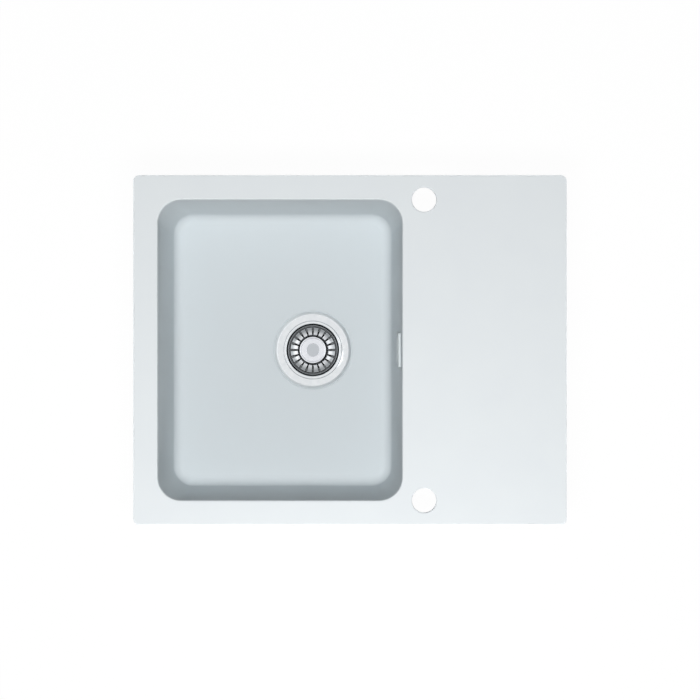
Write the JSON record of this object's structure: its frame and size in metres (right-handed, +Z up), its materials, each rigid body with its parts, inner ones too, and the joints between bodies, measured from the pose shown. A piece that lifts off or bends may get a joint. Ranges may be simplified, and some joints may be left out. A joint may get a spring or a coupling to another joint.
{
  "type": "kitchen sink with drainboard",
  "caption": "White inset composite kitchen sink with a rectangular bowl on the left, a flat drainboard on the right, tap holes, overflow, basket strainer waste and worktop clamps.",
  "frame": {"origin": "centre of the worktop cut-out, in the plane of the worktop that the rim rests on", "axes": "+X towards the drainboard, +Y towards the wall behind the sink, +Z up out of the bowl"},
  "size_m": [0.62, 0.5, 0.304],
  "materials": {
    "quartz_composite": "satin, moulded quartz composite",
    "matched_polypropylene": "moulded polypropylene in the sink's colour",
    "seal_foam": "closed-cell foam",
    "insert_brass": "turned",
    "zinc_steel": "bright zinc plated",
    "pressed_stainless": "pressed and polished stainless steel",
    "knob_chrome": "satin chrome",
    "stainless_fixings": "plain stainless steel",
    "seal_rubber": "moulded rubber",
    "waste_polypropylene": "moulded polypropylene",
    "hose_polypropylene": "blown polypropylene"
  },
  "bodies": {
    "sink": {"sink_body": "quartz_composite", "overflow_rosette": "matched_polypropylene", "rim_seal": "seal_foam", "clamp_inserts": "insert_brass", "hub_insert": "insert_brass", "clamp_studs": "zinc_steel", "strainer_flange": "pressed_stainless", "waste_screw": "stainless_fixings", "screw_washer": "stainless_fixings", "overflow_screws": "stainless_fixings", "hose_clip": "stainless_fixings", "hose_clip_screw": "stainless_fixings", "flange_seal": "seal_rubber", "body_seal": "seal_rubber", "spigot_seal": "seal_rubber", "overflow_seal": "seal_rubber", "waste_body": "waste_polypropylene", "spigot_nut": "waste_polypropylene", "overflow_housing": "waste_polypropylene", "overflow_hose": "hose_polypropylene"},
    "basket": {"basket_rim": "pressed_stainless", "basket_cup": "pressed_stainless", "basket_knob": "knob_chrome", "knob_neck": "waste_polypropylene", "basket_stem": "stainless_fixings", "basket_plug": "seal_rubber", "basket_retainer": "stainless_fixings"},
    "nut_1": {"clamp_nut_1": "zinc_steel"},
    "claw_1": {"clamp_claw_1": "zinc_steel"},
    "nut_2": {"clamp_nut_2": "zinc_steel"},
    "claw_2": {"clamp_claw_2": "zinc_steel"},
    "nut_3": {"clamp_nut_3": "zinc_steel"},
    "claw_3": {"clamp_claw_3": "zinc_steel"},
    "nut_4": {"clamp_nut_4": "zinc_steel"},
    "claw_4": {"clamp_claw_4": "zinc_steel"},
    "nut_5": {"clamp_nut_5": "zinc_steel"},
    "claw_5": {"clamp_claw_5": "zinc_steel"},
    "nut_6": {"clamp_nut_6": "zinc_steel"},
    "claw_6": {"clamp_claw_6": "zinc_steel"},
    "nut_7": {"clamp_nut_7": "zinc_steel"},
    "claw_7": {"clamp_claw_7": "zinc_steel"},
    "nut_8": {"clamp_nut_8": "zinc_steel"},
    "claw_8": {"clamp_claw_8": "zinc_steel"}
  },
  "joints": [
    {"name": "basket_lift", "type": "slide", "parent": "sink", "child": "basket", "axis": [0, 0, 1], "range_m": [0, 0.24]},
    {"name": "clamp_1_lift", "type": "slide", "parent": "sink", "child": "nut_1", "axis": [0, 0, 1], "range_m": [0, 0.0175]},
    {"name": "clamp_1_swing", "type": "hinge", "parent": "nut_1", "child": "claw_1", "pos_m": [-0.215, -0.232, -0.055], "axis": [0, 0, 1], "range_deg": [0, 90]},
    {"name": "clamp_2_lift", "type": "slide", "parent": "sink", "child": "nut_2", "axis": [0, 0, 1], "range_m": [0, 0.0175]},
    {"name": "clamp_2_swing", "type": "hinge", "parent": "nut_2", "child": "claw_2", "pos_m": [0, -0.232, -0.055], "axis": [0, 0, 1], "range_deg": [0, 90]},
    {"name": "clamp_3_lift", "type": "slide", "parent": "sink", "child": "nut_3", "axis": [0, 0, 1], "range_m": [0, 0.0175]},
    {"name": "clamp_3_swing", "type": "hinge", "parent": "nut_3", "child": "claw_3", "pos_m": [0.215, -0.232, -0.055], "axis": [0, 0, 1], "range_deg": [0, 90]},
    {"name": "clamp_4_lift", "type": "slide", "parent": "sink", "child": "nut_4", "axis": [0, 0, 1], "range_m": [0, 0.0175]},
    {"name": "clamp_4_swing", "type": "hinge", "parent": "nut_4", "child": "claw_4", "pos_m": [0.292, 0, -0.055], "axis": [0, 0, 1], "range_deg": [0, 90]},
    {"name": "clamp_5_lift", "type": "slide", "parent": "sink", "child": "nut_5", "axis": [0, 0, 1], "range_m": [0, 0.0175]},
    {"name": "clamp_5_swing", "type": "hinge", "parent": "nut_5", "child": "claw_5", "pos_m": [0.215, 0.232, -0.055], "axis": [0, 0, 1], "range_deg": [0, 90]},
    {"name": "clamp_6_lift", "type": "slide", "parent": "sink", "child": "nut_6", "axis": [0, 0, 1], "range_m": [0, 0.0175]},
    {"name": "clamp_6_swing", "type": "hinge", "parent": "nut_6", "child": "claw_6", "pos_m": [0, 0.232, -0.055], "axis": [0, 0, 1], "range_deg": [0, 90]},
    {"name": "clamp_7_lift", "type": "slide", "parent": "sink", "child": "nut_7", "axis": [0, 0, 1], "range_m": [0, 0.0175]},
    {"name": "clamp_7_swing", "type": "hinge", "parent": "nut_7", "child": "claw_7", "pos_m": [-0.215, 0.232, -0.055], "axis": [0, 0, 1], "range_deg": [0, 90]},
    {"name": "clamp_8_lift", "type": "slide", "parent": "sink", "child": "nut_8", "axis": [0, 0, 1], "range_m": [0, 0.0175]},
    {"name": "clamp_8_swing", "type": "hinge", "parent": "nut_8", "child": "claw_8", "pos_m": [-0.292, 0, -0.055], "axis": [0, 0, 1], "range_deg": [0, 90]}
  ]
}
